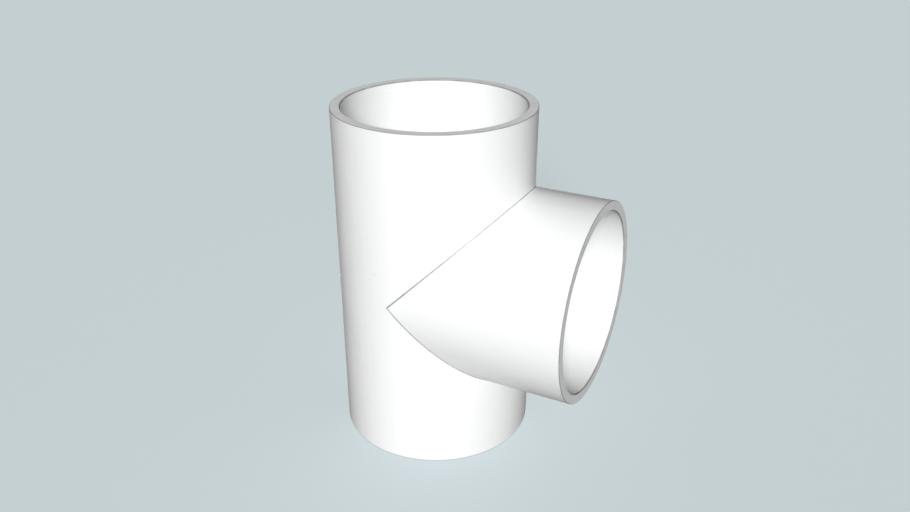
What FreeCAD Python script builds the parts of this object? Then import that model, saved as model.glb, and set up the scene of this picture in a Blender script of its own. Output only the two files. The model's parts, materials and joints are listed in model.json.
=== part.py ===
"""Fabricated PVC slip tee, nominal 4 inch, for solvent-cemented irrigation pipe.

Two lengths of PVC barrel of one size meet at 45 degree mitres: the run, which stands along Z, and
the branch, which leaves it along +X at half height. Filler rod welds the mitre outside and inside.
Each of the three mouths is a socket with a stop ring behind it, which the pipe's end bears on.

Millimetres. The origin is the centre of the run's bottom mouth, and +Z runs up the run's axis.
"""

import FreeCAD, Part
import math
import os

import Sketcher

OUT_FOLDER = "parts"
MITRE_DEG = 45.0
QUARTER_TURN_DEG = 90.0
HALF_TURN_DEG = 180.0
FULL_TURN_DEG = 360.0
SPINE_OVERRUN_DEG = 6.0  # a bead's spine passes the end of its quarter by this, to be cut square there
VOLUME_TOLERANCE = 0.01  # as a fraction
MM3_PER_CM3 = 1000.0

# how a sketch numbers its own axes, and the ends of a line
ACROSS_AXIS = -1
UP_AXIS = -2
START = 1
END = 2

X_AXIS = FreeCAD.Vector(1, 0, 0)
Y_AXIS = FreeCAD.Vector(0, 1, 0)
Z_AXIS = FreeCAD.Vector(0, 0, 1)

# name in the sheet: (value, what it is)
DRIVING_DIMENSIONS = {
    "pipe_radius": (57.15, "outside radius of the pipe that the sockets take"),
    "pipe_bore_radius": (51.15, "inside radius of that pipe, and of the stop rings"),
    "socket_play": (0.10, "radial room for the pipe and its cement in a socket"),
    "socket_depth": (44.45, "from a mouth to its pipe stop"),
    "seat_step": (0.75, "radial step from a socket down to the bore behind it"),
    "barrel_radius": (63.9, "outside radius of both barrels"),
    "centre_to_mouth": (111.5, "from the crossing of the axes to each mouth"),
    "lead_in": (0.8, "chamfer inside each mouth"),
    "arris": (0.4, "chamfer on each mouth's outside edge"),
    "stop_width": (6.0, "length of a stop ring along its axis"),
    "stop_round": (1.0, "radius of a stop ring's inside edges"),
    "outer_bead_radius": (0.9, "section of the outside weld bead, dressed low"),
    "outer_bead_inset": (0.5, "depth of that bead's centre line below the outside walls"),
    "inner_bead_radius": (1.7, "section of the inside weld bead, left as laid"),
    "inner_bead_inset": (0.6, "depth of that bead's centre line behind the inside walls"),
}


class Size:
    """A length worked out from the sheet's cells: its number, and the expression that binds it."""

    def __init__(self, value, text):
        self.value = float(value)
        self.text = text

    def joined(self, sign, other, value):
        text = other.text if isinstance(other, Size) else str(other)
        return Size(value, f"({self.text} {sign} {text})")

    def __add__(self, other):
        return self.joined("+", other, self.value + other.value)

    def __sub__(self, other):
        return self.joined("-", other, self.value - other.value)

    def __mul__(self, factor):
        return self.joined("*", factor, self.value * factor)

    def __neg__(self):
        return Size(-self.value, f"(-{self.text})")


ZERO = Size(0.0, "0")


class Sizes:
    """The driving dimensions, and the few lengths that follow from them."""

    def __init__(self, sheet):
        for name, (value, _) in DRIVING_DIMENSIONS.items():
            setattr(self, name, Size(value, f"{sheet.Name}.{name}"))
        self.socket_radius = self.pipe_radius + self.socket_play
        self.seat_radius = self.socket_radius - self.seat_step
        self.centre_to_stop = self.centre_to_mouth - self.socket_depth


def make_sheet(doc):
    sheet = doc.addObject("Spreadsheet::Sheet", "dimensions")
    for row, (name, (value, meaning)) in enumerate(DRIVING_DIMENSIONS.items(), start=1):
        sheet.set(f"A{row}", name)
        sheet.set(f"B{row}", str(value))
        sheet.setAlias(f"B{row}", name)
        sheet.set(f"C{row}", meaning)
    doc.recompute()
    return sheet


def bind(obj, **sizes):
    """Bind each named property of an object to its size."""
    for name, size in sizes.items():
        obj.setExpression(name, size.text)


def place(obj, x=ZERO, y=ZERO, z=ZERO, rotation=None):
    """Turn an object about the origin, then bind where its own origin goes."""
    obj.Placement = FreeCAD.Placement(FreeCAD.Vector(), rotation or FreeCAD.Rotation())
    for letter, size in (("x", x), ("y", y), ("z", z)):
        obj.setExpression(f"Placement.Base.{letter}", size.text)


def origin_plane(body, role):
    return next(feature for feature in body.Origin.OriginFeatures if feature.Role == role)


def bind_corner(sketch, line, across, up):
    """Hold the start of a sketch's line at a place measured from the sketch's origin."""
    corner, origin = (line, START), (ACROSS_AXIS, START)
    for kind, size, axis in (("DistanceX", across, UP_AXIS), ("DistanceY", up, ACROSS_AXIS)):
        if size.value == 0:
            sketch.addConstraint(Sketcher.Constraint("PointOnObject", *corner, axis))
            continue
        ends = (*origin, *corner) if size.value > 0 else (*corner, *origin)
        length = size if size.value > 0 else -size
        index = sketch.addConstraint(Sketcher.Constraint(kind, *ends, length.value))
        sketch.setExpression(f"Constraints[{index}]", length.text)


def draw_outline(body, name, corners):
    """A closed outline on the body's XZ plane, whose corners are pairs of sizes: along X and along Z."""
    sketch = body.newObject("Sketcher::SketchObject", name)
    sketch.AttachmentSupport = (origin_plane(body, "XZ_Plane"), [""])
    sketch.MapMode = "FlatFace"
    points = [FreeCAD.Vector(across.value, up.value, 0) for across, up in corners]
    for line, start in enumerate(points):
        end = points[(line + 1) % len(points)]
        sketch.addGeometry(Part.LineSegment(start, end))
    for line, (across, up) in enumerate(corners):
        following = (line + 1) % len(corners)
        sketch.addConstraint(Sketcher.Constraint("Coincident", line, END, following, START))
        bind_corner(sketch, line, across, up)
    return sketch


def revolve(body, sketch, axis):
    turned = body.newObject("PartDesign::Revolution", f"{sketch.Name}_turned")
    turned.Profile = sketch
    turned.ReferenceAxis = (sketch, [axis])
    turned.Angle = FULL_TURN_DEG
    return turned


def cut_through(body, sketch):
    """Cut an outline through the whole body, both ways from its plane."""
    pocket = body.newObject("PartDesign::Pocket", f"{sketch.Name}_cut")
    pocket.Profile = sketch
    pocket.Type = "ThroughAll"
    pocket.Midplane = True
    return pocket


def mirror(body, feature, role):
    mirrored = body.newObject("PartDesign::Mirrored", f"{feature.Name}_mirrored")
    mirrored.Originals = [feature]
    mirrored.MirrorPlane = (origin_plane(body, role), [""])
    body.Tip = mirrored
    return mirrored


def arm_section(sizes):
    """Half of a barrel's wall, from the crossing out to one mouth: corners as (radius, distance out)."""
    mouth = sizes.centre_to_mouth
    return [
        (sizes.seat_radius, ZERO),
        (sizes.barrel_radius, ZERO),
        (sizes.barrel_radius, mouth - sizes.arris),
        (sizes.barrel_radius - sizes.arris, mouth),
        (sizes.socket_radius + sizes.lead_in, mouth),
        (sizes.socket_radius, mouth - sizes.lead_in),
        (sizes.socket_radius, sizes.centre_to_stop),
        (sizes.seat_radius, sizes.centre_to_stop),
    ]


def make_run_tube(doc, sizes):
    """The run: an arm each way along Z, notched to its axis on the branch side. Origin at the crossing."""
    body = doc.addObject("PartDesign::Body", "run_tube")
    wall = draw_outline(body, "run_wall", arm_section(sizes))
    arm = revolve(body, wall, "V_Axis")
    doc.recompute()
    mirror(body, arm, "XY_Plane")
    reach = sizes.centre_to_mouth
    notch = draw_outline(body, "run_mitre", [(ZERO, ZERO), (reach, -reach), (reach, reach)])
    cut_through(body, notch)
    place(body, z=sizes.centre_to_mouth)
    return body


def make_branch_tube(doc, sizes):
    """The branch: one arm along X, pointed to fill the run's notch. Origin at the crossing."""
    body = doc.addObject("PartDesign::Body", "branch_tube")
    section = [(distance, radius) for radius, distance in arm_section(sizes)]
    wall = draw_outline(body, "branch_wall", section)
    revolve(body, wall, "H_Axis")
    doc.recompute()
    reach = sizes.centre_to_mouth
    above = draw_outline(body, "branch_mitre", [(ZERO, ZERO), (reach, reach), (ZERO, reach)])
    cheek = cut_through(body, above)
    doc.recompute()
    mirror(body, cheek, "XY_Plane")
    place(body, z=sizes.centre_to_mouth)
    return body


def circles_of_radius(shape, radius):
    """The names of a shape's round edges that have this radius."""
    return [
        f"Edge{number}"
        for number, edge in enumerate(shape.Edges, start=1)
        if isinstance(edge.Curve, Part.Circle) and math.isclose(edge.Curve.Radius, radius)
    ]


def make_stop_ring(doc, sizes, label, **placing):
    """A ring for the bore behind a socket. Its own origin is on the stop face, with +Z out of the mouth."""
    body = doc.addObject("PartDesign::Body", label)
    width = sizes.stop_width
    section = [
        (sizes.pipe_bore_radius, ZERO),
        (sizes.seat_radius, ZERO),
        (sizes.seat_radius, -width),
        (sizes.pipe_bore_radius, -width),
    ]
    ring = revolve(body, draw_outline(body, f"{label}_section", section), "V_Axis")
    doc.recompute()
    rounded = body.newObject("PartDesign::Fillet", f"{label}_rounded")
    rounded.Base = (ring, circles_of_radius(ring.Shape, sizes.pipe_bore_radius.value))
    bind(rounded, Radius=sizes.stop_round)
    place(body, **placing)
    return body


def mirrored_copy(doc, source, normal, through):
    copy = doc.addObject("Part::Mirroring", f"{source.Name}_copy")
    copy.Source = source
    copy.Normal = normal
    bind(copy, **{"Base.z": through})
    return copy


def fused(doc, name, shapes):
    whole = doc.addObject("Part::MultiFuse", name)
    whole.Shapes = shapes
    whole.Refine = True
    return whole


def make_seam_bead(doc, sizes, label, path_radius, bead_radius):
    """Weld filler along the whole seam, where two equal barrels of path_radius would meet.

    That seam is two half ellipses in the mitre planes. A quarter of it runs from the crotch at the
    top of the branch down to the side, where the planes cross, and is then mirrored twice.
    """
    middle = sizes.centre_to_mouth
    mitre = FreeCAD.Rotation(Y_AXIS, -MITRE_DEG)
    crotch = path_radius * math.sqrt(2)
    spine = doc.addObject("Part::Ellipse", f"{label}_spine")
    bind(spine, MajorRadius=crotch, MinorRadius=path_radius)
    spine.Angle1 = 0.0
    spine.Angle2 = QUARTER_TURN_DEG + SPINE_OVERRUN_DEG
    place(spine, z=middle, rotation=mitre)

    section = doc.addObject("Part::Circle", f"{label}_section")
    bind(section, Radius=bead_radius)
    facing_along = FreeCAD.Rotation(X_AXIS, QUARTER_TURN_DEG)
    place(section, x=path_radius, z=middle + path_radius, rotation=mitre * facing_along)

    rod = doc.addObject("Part::Sweep", f"{label}_rod")
    rod.Sections = [section]
    rod.Spine = (spine, ["Edge1"])
    rod.Solid = True

    below = doc.addObject("Part::Box", f"{label}_below")
    bind(below, Length=crotch, Width=crotch, Height=middle)
    place(below, x=-path_radius)

    quarter = doc.addObject("Part::Cut", f"{label}_quarter")
    quarter.Base = rod
    quarter.Tool = below
    half = fused(doc, f"{label}_half", [quarter, mirrored_copy(doc, quarter, Y_AXIS, ZERO)])
    return fused(doc, label, [half, mirrored_copy(doc, half, Z_AXIS, middle)])


def make_barrel(doc, label, tube, beads):
    """A tube with the weld's grooves taken out of its mitred edges."""
    barrel = doc.addObject("Part::Cut", label)
    barrel.Base = tube
    barrel.Tool = beads
    return barrel


def make_tee(doc, sizes):
    """Every sub-part, in the order of making it up."""
    outer_bead = make_seam_bead(
        doc,
        sizes,
        "outer_seam_bead",
        sizes.barrel_radius - sizes.outer_bead_inset,
        sizes.outer_bead_radius,
    )
    inner_bead = make_seam_bead(
        doc,
        sizes,
        "inner_seam_bead",
        sizes.seat_radius + sizes.inner_bead_inset,
        sizes.inner_bead_radius,
    )
    beads = doc.addObject("Part::Compound", "seam_beads")
    beads.Links = [outer_bead, inner_bead]
    run = make_barrel(doc, "run_barrel", make_run_tube(doc, sizes), beads)
    branch = make_barrel(doc, "branch_barrel", make_branch_tube(doc, sizes), beads)

    middle, to_stop = sizes.centre_to_mouth, sizes.centre_to_stop
    facing_down = FreeCAD.Rotation(X_AXIS, HALF_TURN_DEG)
    facing_out = FreeCAD.Rotation(Y_AXIS, QUARTER_TURN_DEG)
    stops = [
        make_stop_ring(doc, sizes, "top_stop_ring", z=middle + to_stop),
        make_stop_ring(doc, sizes, "bottom_stop_ring", z=middle - to_stop, rotation=facing_down),
        make_stop_ring(doc, sizes, "branch_stop_ring", x=to_stop, z=middle, rotation=facing_out),
    ]
    return [run, branch, *stops, outer_bead, inner_bead]


def mitred_bar_volume(sizes, radius, arms):
    """What a solid bar of a radius holds, from its mitre at the crossing out to the mouths of its arms."""
    bar = arms * math.pi * radius**2 * sizes.centre_to_mouth.value
    lost_to_the_mitre = 4.0 / 3.0 * radius**3
    return bar - lost_to_the_mitre


def wall_volume(sizes, arms):
    """What a barrel's walls hold, leaving out the chamfers and the weld's grooves."""
    outside, seat, socket = sizes.barrel_radius.value, sizes.seat_radius.value, sizes.socket_radius.value
    tube = mitred_bar_volume(sizes, outside, arms) - mitred_bar_volume(sizes, seat, arms)
    sockets = arms * math.pi * (socket**2 - seat**2) * sizes.socket_depth.value
    return tube - sockets


def check(doc, parts, sizes):
    """Stop unless every object is made, every sub-part is one sound solid, and the barrels hold enough."""
    doc.recompute()
    failed = [obj.Label for obj in doc.Objects if {"Invalid", "Error"} & set(obj.State)]
    if failed:
        raise RuntimeError(f"these objects failed: {failed}")
    for part in parts:
        shape = part.Shape
        if shape.isNull() or not shape.isValid() or len(shape.Solids) != 1:
            raise RuntimeError(f"{part.Label} isn't one valid solid")
        print(f"{part.Label}: {shape.Volume / MM3_PER_CM3:.2f} cm3")

    by_label = {part.Label: part for part in parts}
    for label, arms in (("run_barrel", 2), ("branch_barrel", 1)):
        volume, expected = by_label[label].Shape.Volume, wall_volume(sizes, arms)
        if not math.isclose(volume, expected, rel_tol=VOLUME_TOLERANCE):
            raise RuntimeError(f"{label} holds {volume:.0f} mm3, and its walls should hold {expected:.0f}")


def export(parts):
    os.makedirs(OUT_FOLDER, exist_ok=True)
    for part in parts:
        part.Shape.exportStep(os.path.join(OUT_FOLDER, f"{part.Label}.step"))


def main():
    doc = FreeCAD.newDocument("pvc_tee")
    sizes = Sizes(make_sheet(doc))
    parts = make_tee(doc, sizes)
    check(doc, parts, sizes)
    export(parts)


main()
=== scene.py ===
"""A fabricated PVC slip tee: two mitred barrels, the filler that welds them, and three pipe stops.

Metres throughout. The run stands on the floor along +Z, and the branch leaves it along +X. Each arm,
from the crossing of the two axes out to its mouth, is first modelled along +Z with the crossing at
the origin, and is then turned and carried into its place.
"""

import json
import math

import bmesh
import bpy
from bpy.props import FloatProperty, FloatVectorProperty, IntProperty, PointerProperty
from mathutils import Matrix, Vector, noise


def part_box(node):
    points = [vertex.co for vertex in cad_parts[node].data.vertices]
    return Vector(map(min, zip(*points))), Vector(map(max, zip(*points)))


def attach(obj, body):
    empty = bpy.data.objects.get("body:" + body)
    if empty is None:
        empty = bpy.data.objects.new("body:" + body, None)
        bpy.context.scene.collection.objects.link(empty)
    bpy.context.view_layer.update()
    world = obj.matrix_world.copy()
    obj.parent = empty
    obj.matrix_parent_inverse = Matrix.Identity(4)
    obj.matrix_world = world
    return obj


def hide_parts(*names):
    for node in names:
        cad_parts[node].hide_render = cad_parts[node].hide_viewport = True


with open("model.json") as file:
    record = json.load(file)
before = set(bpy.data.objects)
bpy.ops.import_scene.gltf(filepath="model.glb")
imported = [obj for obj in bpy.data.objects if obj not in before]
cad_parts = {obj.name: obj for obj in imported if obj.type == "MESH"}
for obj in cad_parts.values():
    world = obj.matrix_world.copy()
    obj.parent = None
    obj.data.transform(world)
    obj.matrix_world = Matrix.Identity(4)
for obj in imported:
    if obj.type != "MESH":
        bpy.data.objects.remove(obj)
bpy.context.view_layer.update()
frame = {"nodes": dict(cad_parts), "record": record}

bl_info = {
    "name": "PVC Slip Tee",
    "version": (1, 0, 0),
    "blender": (4, 5, 0),
    "location": "View3D > Sidebar > Slip Tee",
    "description": "Models a fabricated PVC slip tee and the stage it stands on",
    "category": "Add Mesh",
}

MM = 0.001
ORIGIN = Vector((0, 0, 0))
X_AXIS = Vector((1, 0, 0))
Z_AXIS = Vector((0, 0, 1))
MERGE_DISTANCE = 0.001 * MM
SAME_PLACE = 0.01 * MM
SHARP_ANGLE = math.radians(32)


def hex_to_linear(code):
    """An sRGB colour such as F2F2EF, as the linear numbers that Blender works in."""
    channels = [int(code[i : i + 2], 16) / 255 for i in (0, 2, 4)]
    return tuple(c / 12.92 if c <= 0.04045 else ((c + 0.055) / 1.055) ** 2.4 for c in channels)


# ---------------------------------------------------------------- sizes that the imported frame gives


def radii_of(node):
    """How near to the run's axis a CAD node comes, and how far from it the node reaches."""
    distances = [vertex.co.xy.length for vertex in frame["nodes"][node].data.vertices]
    return min(distances), max(distances)


MOUNTS = {mount["name"]: mount for mount in frame["record"]["mounts"]}
RUN_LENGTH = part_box("run_barrel")[1].z
CROSSING = Vector((0, 0, RUN_LENGTH / 2))
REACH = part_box("branch_barrel")[1].x  # from the crossing to each mouth
BARREL_RADIUS = radii_of("run_barrel")[1]
SOCKET_RADIUS = MOUNTS["bottom_socket"]["dims"]["r_mm"] * MM
STOP_BORE, SEAT_RADIUS = radii_of("bottom_stop_ring")
STOP_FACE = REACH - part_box("bottom_stop_ring")[0].z  # from the crossing to each pipe stop
STOP_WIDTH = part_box("top_stop_ring")[1].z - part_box("top_stop_ring")[0].z

ARMS = {
    "top": Matrix.Translation(CROSSING),
    "bottom": Matrix.Translation(CROSSING) @ Matrix.Rotation(math.pi, 4, "X"),
    "branch": Matrix.Translation(CROSSING) @ Matrix.Rotation(math.pi / 2, 4, "Y"),
}


# ---------------------------------------------------------------- what a user would change


class TeeSizes(bpy.types.PropertyGroup):
    """Small sizes of the fitting, for the detail that the frame leaves out"""

    steps: IntProperty(
        name="Steps Round",
        description="Flat steps in a full turn, a multiple of four so that the seam's points fall on one",
        default=256,
        min=32,
        step=4,
    )
    arris: FloatProperty(
        name="Outer Arris",
        description="Rounding of a mouth's outside edge",
        default=0.4 * MM,
        unit="LENGTH",
        precision=5,
    )
    lead_in: FloatProperty(
        name="Lead-in",
        description="Chamfer inside a mouth, which starts the pipe",
        default=0.8 * MM,
        unit="LENGTH",
        precision=5,
    )
    stop_round: FloatProperty(
        name="Stop Rounding",
        description="Rounding of a stop ring's inside edges",
        default=1.0 * MM,
        unit="LENGTH",
        precision=5,
    )
    stop_chamfer: FloatProperty(
        name="Stop Chamfer",
        description="Chamfer on a stop ring's outside edges, which holds the cement",
        default=0.3 * MM,
        unit="LENGTH",
        precision=5,
    )
    outer_bead_width: FloatProperty(
        name="Outer Bead Width",
        description="Width of the outside weld bead, which is dressed low",
        default=1.3 * MM,
        unit="LENGTH",
        precision=5,
    )
    outer_bead_crown: FloatProperty(
        name="Outer Bead Crown",
        description="How far the outside bead stands out of the barrels",
        default=0.2 * MM,
        unit="LENGTH",
        precision=5,
    )
    inner_bead_width: FloatProperty(
        name="Inner Bead Width",
        description="Width of the inside weld bead, which is left as laid",
        default=3.4 * MM,
        unit="LENGTH",
        precision=5,
    )
    inner_bead_crown: FloatProperty(
        name="Inner Bead Crown",
        description="How far the inside bead stands into the waterway",
        default=1.0 * MM,
        unit="LENGTH",
        precision=5,
    )
    ripple_pitch: FloatProperty(
        name="Ripple Pitch",
        description="Distance from one ripple of a weld bead to the next",
        default=1.9 * MM,
        unit="LENGTH",
        precision=5,
    )


class TeeFinish(bpy.types.PropertyGroup):
    """Colours and gloss of the fitting's plastic"""

    barrel_colour: FloatVectorProperty(
        name="Barrel",
        description="White PVC as it leaves the die",
        subtype="COLOR",
        default=hex_to_linear("E3E4E4"),
    )
    cut_colour: FloatVectorProperty(
        name="Cut Face",
        description="White PVC where a tool has cut it",
        subtype="COLOR",
        default=hex_to_linear("DEDFDF"),
    )
    # Greyer than the barrels, partly for scorch and partly as painted shade along the seam.
    filler_colour: FloatVectorProperty(
        name="Filler",
        description="White PVC filler rod after welding",
        subtype="COLOR",
        default=hex_to_linear("D1D2D0"),
    )
    scuff_colour: FloatVectorProperty(
        name="Scuff",
        description="Yard dust rubbed into a scuff",
        subtype="COLOR",
        default=hex_to_linear("A7A8A5"),
    )
    # Also painted shade: laid thick on the mouths' arrises and on the outside weld, this grey paints dark
    # shade lines along their edges and along the seam.
    dust_and_shade_colour: FloatVectorProperty(
        name="Packed Dust",
        description="Dust packed on the edges and along the weld",
        subtype="COLOR",
        default=hex_to_linear("7C7E7D"),
    )


class TeeStage(bpy.types.PropertyGroup):
    """The floor, the light and the camera"""

    azimuth: FloatProperty(
        name="Camera Azimuth",
        description="How far the camera stands round from the -Y side towards +X",
        default=math.radians(26.93),
        subtype="ANGLE",
    )
    elevation: FloatProperty(
        name="Camera Elevation",
        description="How far the camera looks down",
        default=math.radians(26.07),
        subtype="ANGLE",
    )
    distance: FloatProperty(
        name="Camera Distance",
        description="From the camera to the point that it is aimed at",
        default=0.547,
        unit="LENGTH",
    )
    aim: FloatVectorProperty(
        name="Camera Aim",
        description="The point that the camera is aimed at",
        default=(0.01414, 0.0, 0.12206),
        unit="LENGTH",
    )
    lens: FloatProperty(
        name="Lens",
        description="Focal length in millimetres, on a sensor 36 mm wide",
        default=32.93,
    )
    floor_colour: FloatVectorProperty(
        name="Floor",
        description="The light table's sheet, unlit",
        subtype="COLOR",
        default=hex_to_linear("899193"),
    )
    floor_glow: FloatProperty(
        name="Floor Glow",
        description="How much of the backdrop's brightness the light table's sheet gives out by itself",
        default=0.66,
    )
    floor_size: FloatProperty(
        name="Floor Size",
        description="Half the floor's width",
        default=50.0,
        unit="LENGTH",
    )
    wall_light: FloatProperty(
        name="Wall Light",
        description="Brightness of the room's walls",
        default=0.07,
    )
    under_light: FloatProperty(
        name="Under Light",
        description="Brightness that comes up from below, in place of the floor's own bounce",
        default=0.16,
    )
    ceiling_light: FloatProperty(
        name="Ceiling Light",
        description="Brightness of the room straight overhead",
        default=0.13,
    )
    backdrop_colour: FloatVectorProperty(
        name="Backdrop",
        description="What is seen past the floor's far edge",
        subtype="COLOR",
        default=hex_to_linear("C4CFD2"),
    )
    key_light: FloatProperty(
        name="Key Light",
        description="Strength of the large soft light beside the camera",
        default=4.6,
    )
    key_azimuth: FloatProperty(
        name="Key Azimuth",
        description="How far the key light stands round from the -Y side towards +X",
        default=math.radians(24.4),
        subtype="ANGLE",
    )
    fill_light: FloatProperty(
        name="Fill Light",
        description="Strength of the light table's lamp, which faces the key and fills the far side",
        default=2.6,
    )
    sheen_light: FloatProperty(
        name="Sheen Light",
        description="Strength of the part of that lamp which is seen in the plastic's gloss",
        default=0.4,
    )


# ---------------------------------------------------------------- materials

PVC_IOR = 1.53
WAVE_SPACING = math.tau / 20  # how far apart a wave texture's bands are at a scale of 1


def add_node(tree, kind, inputs=None, **settings):
    """Add a node with its settings. Each input is a value, or the output that feeds it."""
    node = tree.nodes.new(kind)
    for name, value in settings.items():
        setattr(node, name, value)
    for name, value in (inputs or {}).items():
        if isinstance(value, bpy.types.NodeSocket):
            tree.links.new(value, node.inputs[name])
        else:
            node.inputs[name].default_value = value
    return node


def per_metre(spacing):
    """The scale that spaces a texture's features this far apart."""
    return 1.0 / spacing


def new_material(name):
    """An empty material, with its node tree and its output."""
    material = bpy.data.materials.get(name) or bpy.data.materials.new(name)
    material.use_nodes = True
    material.node_tree.nodes.clear()
    return material, material.node_tree, add_node(material.node_tree, "ShaderNodeOutputMaterial")


def opaque(colour):
    """A colour with the alpha that a node's socket needs."""
    return (*colour, 1.0)


def along_arm(tree, arm, stretch):
    """Object coordinates in an arm's own axes, from the crossing, to stretch a pattern along the arm."""
    place = add_node(tree, "ShaderNodeTexCoord").outputs["Object"]
    centred = add_node(tree, "ShaderNodeMapping", {"Vector": place, "Location": -CROSSING})
    turn = ARMS[arm].to_3x3().inverted().to_euler()
    turned = add_node(tree, "ShaderNodeMapping", {"Vector": centred.outputs[0], "Rotation": turn})
    squeeze = (1.0, 1.0, 1.0 / stretch)
    squeezed = add_node(tree, "ShaderNodeMapping", {"Vector": turned.outputs[0], "Scale": squeeze})
    return squeezed.outputs[0]


def extruded_pvc(arm, finish):
    """White unplasticised PVC barrel, as extruded: a smooth skin with an even gloss.

    The die leaves faint lines along the barrel, the calibrator a slight unevenness, and handling a
    few dull scuffs. Real die lines are finer than a millimetre, and these are 3 mm apart to show.
    """
    material, tree, output = new_material(f"extruded_white_pvc_{arm}")
    even = along_arm(tree, arm, stretch=1.0)
    drawn = along_arm(tree, arm, stretch=60.0)
    rubbed = along_arm(tree, arm, stretch=0.35)
    die_lines = add_node(
        tree, "ShaderNodeTexNoise", {"Vector": drawn, "Scale": per_metre(3.0 * MM), "Detail": 3.0}
    )
    unevenness = add_node(
        tree, "ShaderNodeTexNoise", {"Vector": even, "Scale": per_metre(28 * MM), "Detail": 2.0}
    )
    scuffs = add_node(
        tree,
        "ShaderNodeTexNoise",
        {"Vector": rubbed, "Scale": per_metre(16 * MM), "Detail": 6.0, "Roughness": 0.62},
    )
    scuffed = add_node(
        tree,
        "ShaderNodeMapRange",
        {"Value": scuffs.outputs["Fac"], "From Min": 0.62, "From Max": 0.80, "To Max": 0.22},
    )
    colour = add_node(
        tree,
        "ShaderNodeMix",
        {0: scuffed.outputs[0], 6: opaque(finish.barrel_colour), 7: opaque(finish.scuff_colour)},
        data_type="RGBA",
    )
    gloss = add_node(
        tree,
        "ShaderNodeMapRange",
        {
            "Value": unevenness.outputs["Fac"],
            "From Min": 0.3,
            "From Max": 0.7,
            "To Min": 0.30,
            "To Max": 0.38,
        },
    )
    dulled = add_node(
        tree,
        "ShaderNodeMath",
        {0: scuffed.outputs[0], 1: 0.6, 2: gloss.outputs[0]},
        operation="MULTIPLY_ADD",
    )
    lines = add_node(
        tree,
        "ShaderNodeBump",
        {"Height": die_lines.outputs["Fac"], "Strength": 1.0, "Distance": 0.07 * MM},
    )
    wavy = add_node(
        tree,
        "ShaderNodeBump",
        {
            "Height": unevenness.outputs["Fac"],
            "Strength": 1.0,
            "Distance": 0.30 * MM,
            "Normal": lines.outputs[0],
        },
    )
    shader = add_node(
        tree,
        "ShaderNodeBsdfPrincipled",
        {
            "Base Color": colour.outputs[2],
            "Roughness": dulled.outputs[0],
            "Normal": wavy.outputs[0],
            "IOR": PVC_IOR,
        },
    )
    tree.links.new(shader.outputs[0], output.inputs[0])
    return material


def bored_pvc(arm, finish):
    """White PVC bored for a pipe: duller than the skin, with the tool's feed marks round the bore.

    The marks of a real cut are about 0.2 mm apart, too fine to show, so these are 1.2 mm apart.
    """
    material, tree, output = new_material(f"bored_white_pvc_{arm}")
    marks = add_node(
        tree,
        "ShaderNodeTexNoise",
        {"Vector": along_arm(tree, arm, stretch=0.02), "Scale": per_metre(60 * MM), "Detail": 3.0},
    )
    tint = add_node(
        tree,
        "ShaderNodeMapRange",
        {"Value": marks.outputs["Fac"], "From Min": 0.35, "From Max": 0.75, "To Max": 0.06},
    )
    colour = add_node(
        tree,
        "ShaderNodeMix",
        {0: tint.outputs[0], 6: opaque(finish.barrel_colour), 7: opaque(finish.scuff_colour)},
        data_type="RGBA",
    )
    relief = add_node(
        tree, "ShaderNodeBump", {"Height": marks.outputs["Fac"], "Strength": 1.0, "Distance": 0.04 * MM}
    )
    shader = add_node(
        tree,
        "ShaderNodeBsdfPrincipled",
        {"Base Color": colour.outputs[2], "Roughness": 0.46, "Normal": relief.outputs[0], "IOR": PVC_IOR},
    )
    tree.links.new(shader.outputs[0], output.inputs[0])
    return material


def faced_pvc(arm, finish):
    """White PVC faced on a lathe: a dull cut face with rings about the arm's axis.

    The rings of a real cut are about 0.2 mm apart, too fine to show, so these are 1.1 mm apart.
    """
    material, tree, output = new_material(f"faced_white_pvc_{arm}")
    place = along_arm(tree, arm, stretch=1.0)
    rings = add_node(
        tree,
        "ShaderNodeTexWave",
        {
            "Vector": place,
            "Scale": WAVE_SPACING * per_metre(1.1 * MM),
            "Distortion": 1.5,
            "Detail": 2.0,
        },
        wave_type="RINGS",
        rings_direction="Z",
    )
    patches = add_node(
        tree, "ShaderNodeTexNoise", {"Vector": place, "Scale": per_metre(9 * MM), "Detail": 4.0}
    )
    tint = add_node(
        tree,
        "ShaderNodeMapRange",
        {"Value": patches.outputs["Fac"], "From Min": 0.45, "From Max": 0.75, "To Max": 0.16},
    )
    colour = add_node(
        tree,
        "ShaderNodeMix",
        {0: tint.outputs[0], 6: opaque(finish.cut_colour), 7: opaque(finish.scuff_colour)},
        data_type="RGBA",
    )
    relief = add_node(
        tree, "ShaderNodeBump", {"Height": rings.outputs["Fac"], "Strength": 1.0, "Distance": 0.03 * MM}
    )
    shader = add_node(
        tree,
        "ShaderNodeBsdfPrincipled",
        {"Base Color": colour.outputs[2], "Roughness": 0.52, "Normal": relief.outputs[0], "IOR": PVC_IOR},
    )
    tree.links.new(shader.outputs[0], output.inputs[0])
    return material


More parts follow.
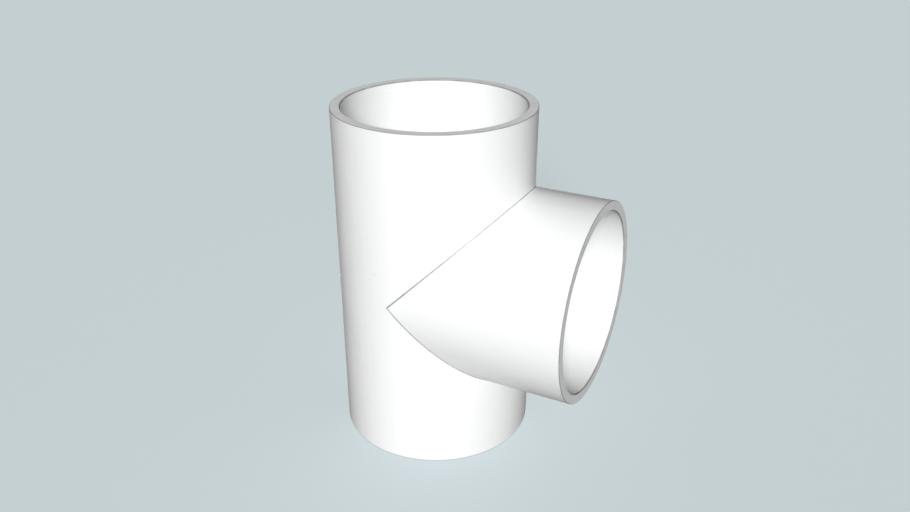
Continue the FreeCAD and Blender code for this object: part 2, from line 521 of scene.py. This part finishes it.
def arris_pvc_with_painted_shade(finish):
    """The arrises of white PVC: knocked and polished in places, and painted dark grey along every edge, a
    little of it dust rubbed in and most of it painted shade.
    """
    material, tree, output = new_material("rubbed_white_pvc_arris_painted_shade")
    place = add_node(tree, "ShaderNodeTexCoord").outputs["Object"]
    knocks = add_node(
        tree, "ShaderNodeTexNoise", {"Vector": place, "Scale": per_metre(7 * MM), "Detail": 5.0}
    )
    # A share of 0.7 to 0.95 of the grey, far more than dust alone, so that it paints a dark shade line
    # along every arris.
    dust = add_node(
        tree,
        "ShaderNodeMapRange",
        {"Value": knocks.outputs["Fac"], "From Min": 0.3, "From Max": 0.7, "To Min": 0.7, "To Max": 0.95},
    )
    colour = add_node(
        tree,
        "ShaderNodeMix",
        {0: dust.outputs[0], 6: opaque(finish.cut_colour), 7: opaque(finish.dust_and_shade_colour)},
        data_type="RGBA",
    )
    relief = add_node(
        tree, "ShaderNodeBump", {"Height": knocks.outputs["Fac"], "Strength": 1.0, "Distance": 0.1 * MM}
    )
    shader = add_node(
        tree,
        "ShaderNodeBsdfPrincipled",
        {"Base Color": colour.outputs[2], "Roughness": 0.5, "Normal": relief.outputs[0], "IOR": PVC_IOR},
    )
    tree.links.new(shader.outputs[0], output.inputs[0])
    return material


def filler_pvc_with_painted_shade(how, dust_and_shade_share, finish):
    """White PVC filler after hot-gas welding: a little scorched, so greyer than the barrels, and dusty;
    the grey is also painted shade, which draws the weld as a dark shade line along the seam.

    Its dust and painted shade vary from 0.6 of the greatest share up to the greatest, as a share of the
    colour.
    """
    material, tree, output = new_material(f"{how}_white_pvc_filler_and_painted_shade")
    place = add_node(tree, "ShaderNodeTexCoord").outputs["Object"]
    scorch = add_node(
        tree, "ShaderNodeTexNoise", {"Vector": place, "Scale": per_metre(5 * MM), "Detail": 4.0}
    )
    # Dust and painted shade together, as a share of the colour.
    dust = add_node(
        tree,
        "ShaderNodeMapRange",
        {
            "Value": scorch.outputs["Fac"],
            "From Min": 0.3,
            "From Max": 0.7,
            "To Min": 0.6 * dust_and_shade_share,
            "To Max": dust_and_shade_share,
        },
    )
    colour = add_node(
        tree,
        "ShaderNodeMix",
        {0: dust.outputs[0], 6: opaque(finish.filler_colour), 7: opaque(finish.dust_and_shade_colour)},
        data_type="RGBA",
    )
    gloss = add_node(
        tree,
        "ShaderNodeMapRange",
        {"Value": scorch.outputs["Fac"], "From Min": 0.3, "From Max": 0.7, "To Min": 0.28, "To Max": 0.5},
    )
    relief = add_node(
        tree, "ShaderNodeBump", {"Height": scorch.outputs["Fac"], "Strength": 1.0, "Distance": 0.08 * MM}
    )
    shader = add_node(
        tree,
        "ShaderNodeBsdfPrincipled",
        {
            "Base Color": colour.outputs[2],
            "Roughness": gloss.outputs[0],
            "Normal": relief.outputs[0],
            "IOR": PVC_IOR,
        },
    )
    tree.links.new(shader.outputs[0], output.inputs[0])
    return material


def frosted_acrylic(stage):
    """The floor: the frosted opal sheet of a light table, plain and without gloss, pale when lit."""
    material, tree, output = new_material("frosted_opal_acrylic")
    shader = add_node(
        tree,
        "ShaderNodeBsdfPrincipled",
        {
            "Base Color": opaque(stage.floor_colour),
            "Roughness": 0.9,
            "Specular IOR Level": 0.0,
            "Emission Color": opaque(stage.backdrop_colour),
            "Emission Strength": stage.floor_glow,
        },
    )
    tree.links.new(shader.outputs[0], output.inputs[0])
    return material


# ---------------------------------------------------------------- shared mesh work

EXTRUDED, BORED, FACED, ARRIS = range(4)


def whole(bm):
    """All of a bmesh, for an operator that takes geometry."""
    return bm.verts[:] + bm.edges[:] + bm.faces[:]


def spin_outline(bm, outline, steps, closed):
    """Turn an outline of (distance from the axis, distance along it) right round the Z axis."""
    corners = [bm.verts.new((away, 0, along)) for away, along in outline]
    following = corners[1:] + corners[:1] if closed else corners[1:]
    sides = [bm.edges.new(pair) for pair in zip(corners, following)]
    bmesh.ops.spin(
        bm, geom=corners + sides, cent=ORIGIN, axis=Z_AXIS, angle=math.tau, steps=steps, use_merge=True
    )
    bmesh.ops.recalc_face_normals(bm, faces=bm.faces)


def near(value, target):
    """True when two lengths are the same, for a vertex's place."""
    return abs(value - target) < SAME_PLACE


def edges_where(bm, test):
    """The edges whose ends both pass a test of their place."""
    return [edge for edge in bm.edges if all(test(vertex.co) for vertex in edge.verts)]


def circle_at(bm, away, along):
    """The edges of the circle at a distance from the Z axis and a distance along it."""
    return edges_where(bm, lambda place: near(place.xy.length, away) and near(place.z, along))


def bevel(bm, edges, offset, segments):
    """Bevel edges by the same width on each side: one segment is a chamfer, and more are a rounding."""
    bmesh.ops.bevel(
        bm,
        geom=edges,
        offset=offset,
        offset_type="OFFSET",
        segments=segments,
        profile=0.5,
        affect="EDGES",
        clamp_overlap=True,
        material=-1,
    )


def make_piece(name, bm, materials, node):
    """Make the bmesh a piece that stands for a CAD node and takes its finish from a slot."""
    if not all(edge.is_manifold for edge in bm.edges):
        raise RuntimeError(f"{name} isn't a closed mesh")
    bmesh.ops.recalc_face_normals(bm, faces=bm.faces)
    for face in bm.faces:
        face.smooth = True
    mesh = bpy.data.meshes.new(name)
    bm.to_mesh(mesh)
    bm.free()
    mesh.set_sharp_from_angle(angle=SHARP_ANGLE)
    for material in materials:
        mesh.materials.append(material)
    piece = bpy.data.objects.new(name, mesh)
    bpy.context.scene.collection.objects.link(piece)
    flat = piece.modifiers.new("flat_faces_stay_flat", "WEIGHTED_NORMAL")
    flat.keep_sharp = True
    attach(piece, "root")
    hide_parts(node)


# ---------------------------------------------------------------- the barrels

GROOVE_SHARE = 0.36  # a groove's width on each barrel, as a share of its bead's width
WALL_SLOPE = 0.1  # a wall's normals rise along the arm by less than this
FACE_SLOPE = 0.98  # and a square face's by more than this
RIM_BAND = 1 * MM  # how far back from a mouth its arris and lead-in may reach
BORE_MARGIN = 0.1 * MM  # how far from the socket's radius a wall still counts as the socket's


def spin_arm(bm, sizes):
    """The wall of one arm from the crossing to its mouth, which is faced, rounded and chamfered."""
    outline = [
        (BARREL_RADIUS, 0),
        (BARREL_RADIUS, REACH),
        (SOCKET_RADIUS, REACH),
        (SOCKET_RADIUS, STOP_FACE),
        (SEAT_RADIUS, STOP_FACE),
        (SEAT_RADIUS, 0),
    ]
    spin_outline(bm, outline, sizes.steps, closed=False)
    bevel(bm, circle_at(bm, BARREL_RADIUS, REACH), sizes.arris, segments=3)
    bevel(bm, circle_at(bm, SOCKET_RADIUS, REACH), sizes.lead_in, segments=1)


def on_mitre(place):
    """True on either of the two planes that the barrels are mitred along."""
    return near(abs(place.x), abs(place.z))


def cut_mitre(bm, away):
    """Cut an arm along the mitre plane that faces away, and close the wall's cut edge.

    The cut leaves an outside loop and an inside loop, each at one distance from the axis.
    """
    bmesh.ops.bisect_plane(
        bm, geom=whole(bm), dist=MERGE_DISTANCE, plane_co=ORIGIN, plane_no=away, clear_outer=True
    )
    cut = [
        edge
        for edge in edges_where(bm, lambda place: near(place.dot(away), 0))
        if edge.is_boundary and near(*(vertex.co.xy.length for vertex in edge.verts))
    ]
    bmesh.ops.bridge_loops(bm, edges=cut)


def groove_seam(bm, sizes):
    """Chamfer the mitred edges, outside and inside, for the filler to lie in.

    The grooves run out just short of the seam's two points, where X is 0.
    """
    grooves = (
        (BARREL_RADIUS, sizes.outer_bead_width),
        (SEAT_RADIUS, sizes.inner_bead_width),
    )
    for radius, width in grooves:
        edges = edges_where(
            bm,
            lambda place: on_mitre(place) and near(place.xy.length, radius) and not near(place.x, 0),
        )
        bevel(bm, edges, GROOVE_SHARE * width, segments=1)


def name_finishes(bm):
    """Say how each face was made: extruded, bored for a pipe, faced square, or rubbed at an arris, which
    also takes painted shade.
    """
    bmesh.ops.recalc_face_normals(bm, faces=bm.faces)
    for face in bm.faces:
        centre = face.calc_center_median()
        slope = abs(face.normal.z)
        if slope < WALL_SLOPE:
            in_socket = abs(centre.xy.length - SOCKET_RADIUS) < BORE_MARGIN
            face.material_index = BORED if in_socket else EXTRUDED
        elif slope < FACE_SLOPE and abs(centre.z) > REACH - RIM_BAND:
            face.material_index = ARRIS
        else:
            face.material_index = FACED


def barrel_materials(arm, finish):
    """A barrel's materials, in the order of its finishes."""
    return [extruded_pvc(arm, finish), bored_pvc(arm, finish), faced_pvc(arm, finish), arris_pvc_with_painted_shade(finish)]


class TEE_OT_run_barrel(bpy.types.Operator):
    """Model the straight run, with a notch cut to its axis for the branch"""

    bl_idname = "tee.run_barrel"
    bl_label = "Run Barrel"

    def execute(self, context):
        sizes, finish = context.scene.tee_sizes, context.scene.tee_finish
        bm = bmesh.new()
        spin_arm(bm, sizes)
        cut_mitre(bm, (X_AXIS - Z_AXIS).normalized())
        bmesh.ops.mirror(bm, geom=whole(bm), axis="Z", merge_dist=MERGE_DISTANCE)
        groove_seam(bm, sizes)
        name_finishes(bm)
        bmesh.ops.transform(bm, matrix=ARMS["top"], verts=bm.verts)
        make_piece("run_pipe", bm, barrel_materials("top", finish), "run_barrel")
        return {"FINISHED"}


class TEE_OT_branch_barrel(bpy.types.Operator):
    """Model the branch, cut to the point that fills the run's notch"""

    bl_idname = "tee.branch_barrel"
    bl_label = "Branch Barrel"

    def execute(self, context):
        sizes, finish = context.scene.tee_sizes, context.scene.tee_finish
        bm = bmesh.new()
        spin_arm(bm, sizes)
        for side in (X_AXIS, -X_AXIS):
            cut_mitre(bm, (side - Z_AXIS).normalized())
        groove_seam(bm, sizes)
        name_finishes(bm)
        bmesh.ops.transform(bm, matrix=ARMS["branch"], verts=bm.verts)
        make_piece("branch_pipe", bm, barrel_materials("branch", finish), "branch_barrel")
        return {"FINISHED"}


# ---------------------------------------------------------------- the stop rings


class TEE_OT_stop_rings(bpy.types.Operator):
    """Model the ring behind each socket, which the pipe's end bears on"""

    bl_idname = "tee.stop_rings"
    bl_label = "Stop Rings"

    def execute(self, context):
        sizes, finish = context.scene.tee_sizes, context.scene.tee_finish
        back = STOP_FACE - STOP_WIDTH
        outline = [
            (STOP_BORE, back),
            (SEAT_RADIUS, back),
            (SEAT_RADIUS, STOP_FACE),
            (STOP_BORE, STOP_FACE),
        ]
        for arm, place in ARMS.items():
            bm = bmesh.new()
            spin_outline(bm, outline, sizes.steps, closed=True)
            for along in (back, STOP_FACE):
                bevel(bm, circle_at(bm, STOP_BORE, along), sizes.stop_round, segments=4)
                bevel(bm, circle_at(bm, SEAT_RADIUS, along), sizes.stop_chamfer, segments=1)
            bmesh.ops.transform(bm, matrix=place, verts=bm.verts)
            make_piece(f"{arm}_ring", bm, [faced_pvc(arm, finish)], f"{arm}_stop_ring")
        return {"FINISHED"}


# ---------------------------------------------------------------- the weld

SEAM_SIDES = 20  # points round a bead's section
SEAM_STEP_DEG = 0.5
SEAM_POINT_DEG = 88  # no section from here to the seam's point at 90 degrees, where the halves meet
AT_POINT = 1e-6  # the cosine of an angle this near to 90 degrees
SEAM_STRETCH = 1.2  # the seam's mean length, against an arc of the barrel's radius
BEAD_HEIGHT = 0.7  # as a share of the bead's width, its hidden part included
FADE_POWER = 0.25  # how late the ripples die away towards the seam's points
RIPPLE_DEPTH = 0.10  # as a share of the bead's height
RIPPLE_DRIFT = 0.09  # as a share of the bead's width
DRIFT_SPACING = 6  # ripples from one drift of the welder's hand to the next
SWELL_SPACING = 2.3  # ripples from one swell of the filler to the next
UNEVEN_RIPPLES = 2.5  # how far the drift moves a ripple, in radians
DRIFT_ROW = 7  # rows of the noise, on opposite sides of 0 so that the two halves differ
SWELL_ROW = 3
SWELL_LAYER = 40


def seam_section(angle, side, path_radius, sink, half_width, half_height):
    """The matrix that puts a unit circle across the seam, at an angle round it from its crotch.

    The seam lies where two barrels of path_radius meet: side 1 is the mitre above the branch, and
    side -1 the one below it. The circle's X goes to the outward normal, which is halfway between the
    two walls' own, and its Y across the seam. At each of the seam's points the section lies level,
    so that the two halves share it.
    """
    cos, sin = math.cos(angle), math.sin(angle)
    along = Vector((-sin, cos, -side * sin)).normalized()
    outward = Vector((cos, 2 * sin, side * cos)).normalized()
    across = outward.cross(along)
    if abs(cos) < AT_POINT:
        across -= along * (across.z / along.z)
    middle = Vector((cos, sin, side * cos)) * path_radius - outward * sink
    section = Matrix((outward * half_height, across * half_width, along)).transposed().to_4x4()
    return Matrix.Translation(CROSSING + middle) @ section


def seam_angles():
    """Where a bead has sections: close together, but none beside the seam's two points."""
    inner = range(round(-SEAM_POINT_DEG / SEAM_STEP_DEG), round(SEAM_POINT_DEG / SEAM_STEP_DEG) + 1)
    return [-math.pi / 2, *(math.radians(i * SEAM_STEP_DEG) for i in inner), math.pi / 2]


def lay_bead(bm, side, path_radius, sink, width, height, ripple_pitch):
    """One half of a weld bead, from one of the seam's points over the crotch to the other."""
    loop, last = None, None
    for angle in seam_angles():
        fade = math.cos(angle) ** FADE_POWER if abs(angle) < math.pi / 2 else 0
        ripples = angle * path_radius * SEAM_STRETCH / ripple_pitch
        drift = noise.noise(Vector((ripples / DRIFT_SPACING, side * DRIFT_ROW, path_radius / MM)))
        swell = noise.noise(Vector((ripples / SWELL_SPACING, side * SWELL_ROW, SWELL_LAYER)))
        ripple = abs(math.sin(math.pi * ripples + UNEVEN_RIPPLES * drift)) - 0.5
        section = seam_section(
            angle,
            side,
            path_radius,
            sink,
            width / 2 * (1 + RIPPLE_DRIFT * fade * (drift + swell)),
            height / 2 * (1 + fade * (RIPPLE_DEPTH * ripple + RIPPLE_DRIFT * swell)),
        )
        if loop is None:
            first = bmesh.ops.create_circle(bm, segments=SEAM_SIDES, radius=1, matrix=section)["verts"]
            loop = list({edge for vertex in first for edge in vertex.link_edges})
        else:
            grown = bmesh.ops.extrude_edge_only(bm, edges=loop)["geom"]
            loop = [part for part in grown if isinstance(part, bmesh.types.BMEdge)]
            rim = [part for part in grown if isinstance(part, bmesh.types.BMVert)]
            bmesh.ops.transform(bm, matrix=section @ last.inverted(), verts=rim)
        last = section


class TEE_OT_seam_beads(bpy.types.Operator):
    """Model the filler along the mitre, dressed low outside and left as laid inside"""

    bl_idname = "tee.seam_beads"
    bl_label = "Seam Beads"

    def execute(self, context):
        sizes, finish = context.scene.tee_sizes, context.scene.tee_finish
        # The outside bead goes up to 0.9 of dust and painted shade, which darkens the seam into a shade
        # line; the inside bead up to 0.35.
        dressed, laid = filler_pvc_with_painted_shade("dressed", 0.9, finish), filler_pvc_with_painted_shade("laid", 0.35, finish)
        outer = ("outer", BARREL_RADIUS, 1, sizes.outer_bead_width, sizes.outer_bead_crown, dressed)
        inner = ("inner", SEAT_RADIUS, -1, sizes.inner_bead_width, sizes.inner_bead_crown, laid)
        for where, radius, outward, width, crown, filler in (outer, inner):
            height = BEAD_HEIGHT * width
            sink = outward * (height / 2 - crown)
            bm = bmesh.new()
            for side in (1, -1):
                lay_bead(bm, side, radius, sink, width, height, sizes.ripple_pitch)
            bmesh.ops.remove_doubles(bm, verts=bm.verts, dist=SAME_PLACE)
            make_piece(f"{where}_weld", bm, [filler], f"{where}_seam_bead")
        return {"FINISHED"}


# ---------------------------------------------------------------- the stage

ROOM_WHITE = hex_to_linear("FBFAF8")
FULL_FROM_BELOW = -0.2  # the height of a direction, from -1 to 1, where the light from below is full
KEY_SPREAD = math.radians(18)  # how wide each light looks from the fitting
LAMP_SPREAD = math.radians(36)
FLOOR_GAP = 0.05 * MM  # keeps the sheet clear of the faced end that stands on it
SENSOR_WIDTH = 36  # in millimetres, as Blender counts it


def toward(azimuth, elevation):
    """The direction from the fitting to a place round it: azimuth 0 is the -Y side, and 90 the +X side."""
    flat = math.cos(elevation)
    return Vector((math.sin(azimuth) * flat, -math.cos(azimuth) * flat, math.sin(elevation)))


def look_back(thing, direction):
    """Turn a camera or a light that stands in a direction from the fitting, to face it."""
    thing.rotation_euler = (-direction).to_track_quat("-Z", "Y").to_euler()


def soft_sun(name, direction, strength, spread, glints=True):
    """A large, even, distant light: spread is how wide it looks, and glints whether gloss shows it."""
    lamp = bpy.data.lights.new(name, "SUN")
    lamp.energy = strength
    lamp.angle = spread
    sun = bpy.data.objects.new(name, lamp)
    sun.visible_glossy = glints
    look_back(sun, direction)
    bpy.context.scene.collection.objects.link(sun)


def light_room(stage):
    """A dim room, lighter overhead and from below, that the camera sees as a plain backdrop."""
    room = bpy.data.worlds.new("room")
    room.use_nodes = True
    tree = room.node_tree
    tree.nodes.clear()
    direction = add_node(tree, "ShaderNodeTexCoord").outputs["Generated"]
    height = add_node(tree, "ShaderNodeSeparateXYZ", {0: direction}).outputs["Z"]
    above = add_node(
        tree,
        "ShaderNodeMapRange",
        {"Value": height, "To Min": stage.wall_light, "To Max": stage.ceiling_light},
    )
    below = add_node(
        tree,
        "ShaderNodeMapRange",
        {"Value": height, "From Max": FULL_FROM_BELOW, "To Max": stage.under_light},
    )
    brightness = add_node(
        tree, "ShaderNodeMath", {0: above.outputs[0], 1: below.outputs[0]}, operation="MAXIMUM"
    )
    light = add_node(
        tree, "ShaderNodeBackground", {"Color": opaque(ROOM_WHITE), "Strength": brightness.outputs[0]}
    )
    backdrop = add_node(tree, "ShaderNodeBackground", {"Color": opaque(stage.backdrop_colour)})
    seen = add_node(tree, "ShaderNodeLightPath").outputs["Is Camera Ray"]
    mixed = add_node(tree, "ShaderNodeMixShader", {0: seen, 1: light.outputs[0], 2: backdrop.outputs[0]})
    add_node(tree, "ShaderNodeOutputWorld", {"Surface": mixed.outputs[0]})
    return room


def lay_floor(stage):
    """A light table's sheet, which the lamp shines up through.

    It takes the fitting's shadow, but stays out of the fitting's own light and reflections.
    """
    bm = bmesh.new()
    below = Matrix.Translation((0, 0, -FLOOR_GAP))
    bmesh.ops.create_grid(bm, x_segments=1, y_segments=1, size=stage.floor_size, matrix=below)
    mesh = bpy.data.meshes.new("floor")
    bm.to_mesh(mesh)
    bm.free()
    mesh.materials.append(frosted_acrylic(stage))
    floor = bpy.data.objects.new("floor", mesh)
    floor.visible_diffuse = False
    floor.visible_glossy = False
    floor.visible_shadow = False
    bpy.context.scene.collection.objects.link(floor)


def place_camera(stage, camera_side):
    """Stand the camera off to its side of the fitting, and aim it."""
    lens = bpy.data.cameras.new("camera")
    lens.sensor_width = SENSOR_WIDTH
    lens.lens = stage.lens
    camera = bpy.data.objects.new("camera", lens)
    camera.location = Vector(stage.aim) + camera_side * stage.distance
    look_back(camera, camera_side)
    bpy.context.scene.collection.objects.link(camera)
    bpy.context.scene.camera = camera


class TEE_OT_stage(bpy.types.Operator):
    """Lay the floor, light the fitting and place the camera"""

    bl_idname = "tee.stage"
    bl_label = "Stage"

    def execute(self, context):
        scene, stage = context.scene, context.scene.tee_stage
        camera_side = toward(stage.azimuth, stage.elevation)
        key_side = toward(stage.key_azimuth, stage.elevation)
        lay_floor(stage)
        scene.world = light_room(stage)
        scene.view_settings.view_transform = "Standard"
        soft_sun("key", key_side, stage.key_light, KEY_SPREAD)
        soft_sun("fill", -camera_side, stage.fill_light, LAMP_SPREAD, glints=False)
        soft_sun("sheen", -camera_side, stage.sheen_light, LAMP_SPREAD)
        place_camera(stage, camera_side)
        return {"FINISHED"}


# ---------------------------------------------------------------- the sidebar and the run

OPERATORS = (
    TEE_OT_run_barrel,
    TEE_OT_branch_barrel,
    TEE_OT_stop_rings,
    TEE_OT_seam_beads,
    TEE_OT_stage,
)
GROUPS = {"tee_sizes": TeeSizes, "tee_finish": TeeFinish, "tee_stage": TeeStage}


class TEE_PT_panel(bpy.types.Panel):
    """The fitting's pieces, in the order of making them"""

    bl_label = "Slip Tee"
    bl_idname = "TEE_PT_panel"
    bl_space_type = "VIEW_3D"
    bl_region_type = "UI"
    bl_category = "Slip Tee"

    def draw(self, context):
        for operator in OPERATORS:
            self.layout.operator(operator.bl_idname)
        for name, group in GROUPS.items():
            box = self.layout.box()
            for size in group.__annotations__:
                box.prop(getattr(context.scene, name), size)


CLASSES = (*GROUPS.values(), *OPERATORS, TEE_PT_panel)


def register():
    for each in CLASSES:
        bpy.utils.register_class(each)
    for name, group in GROUPS.items():
        setattr(bpy.types.Scene, name, PointerProperty(type=group))


def unregister():
    for name in GROUPS:
        delattr(bpy.types.Scene, name)
    for each in reversed(CLASSES):
        bpy.utils.unregister_class(each)


def main():
    register()
    bpy.ops.tee.run_barrel()
    bpy.ops.tee.branch_barrel()
    bpy.ops.tee.stop_rings()
    bpy.ops.tee.seam_beads()
    bpy.ops.tee.stage()


if __name__ == "__main__":
    main()
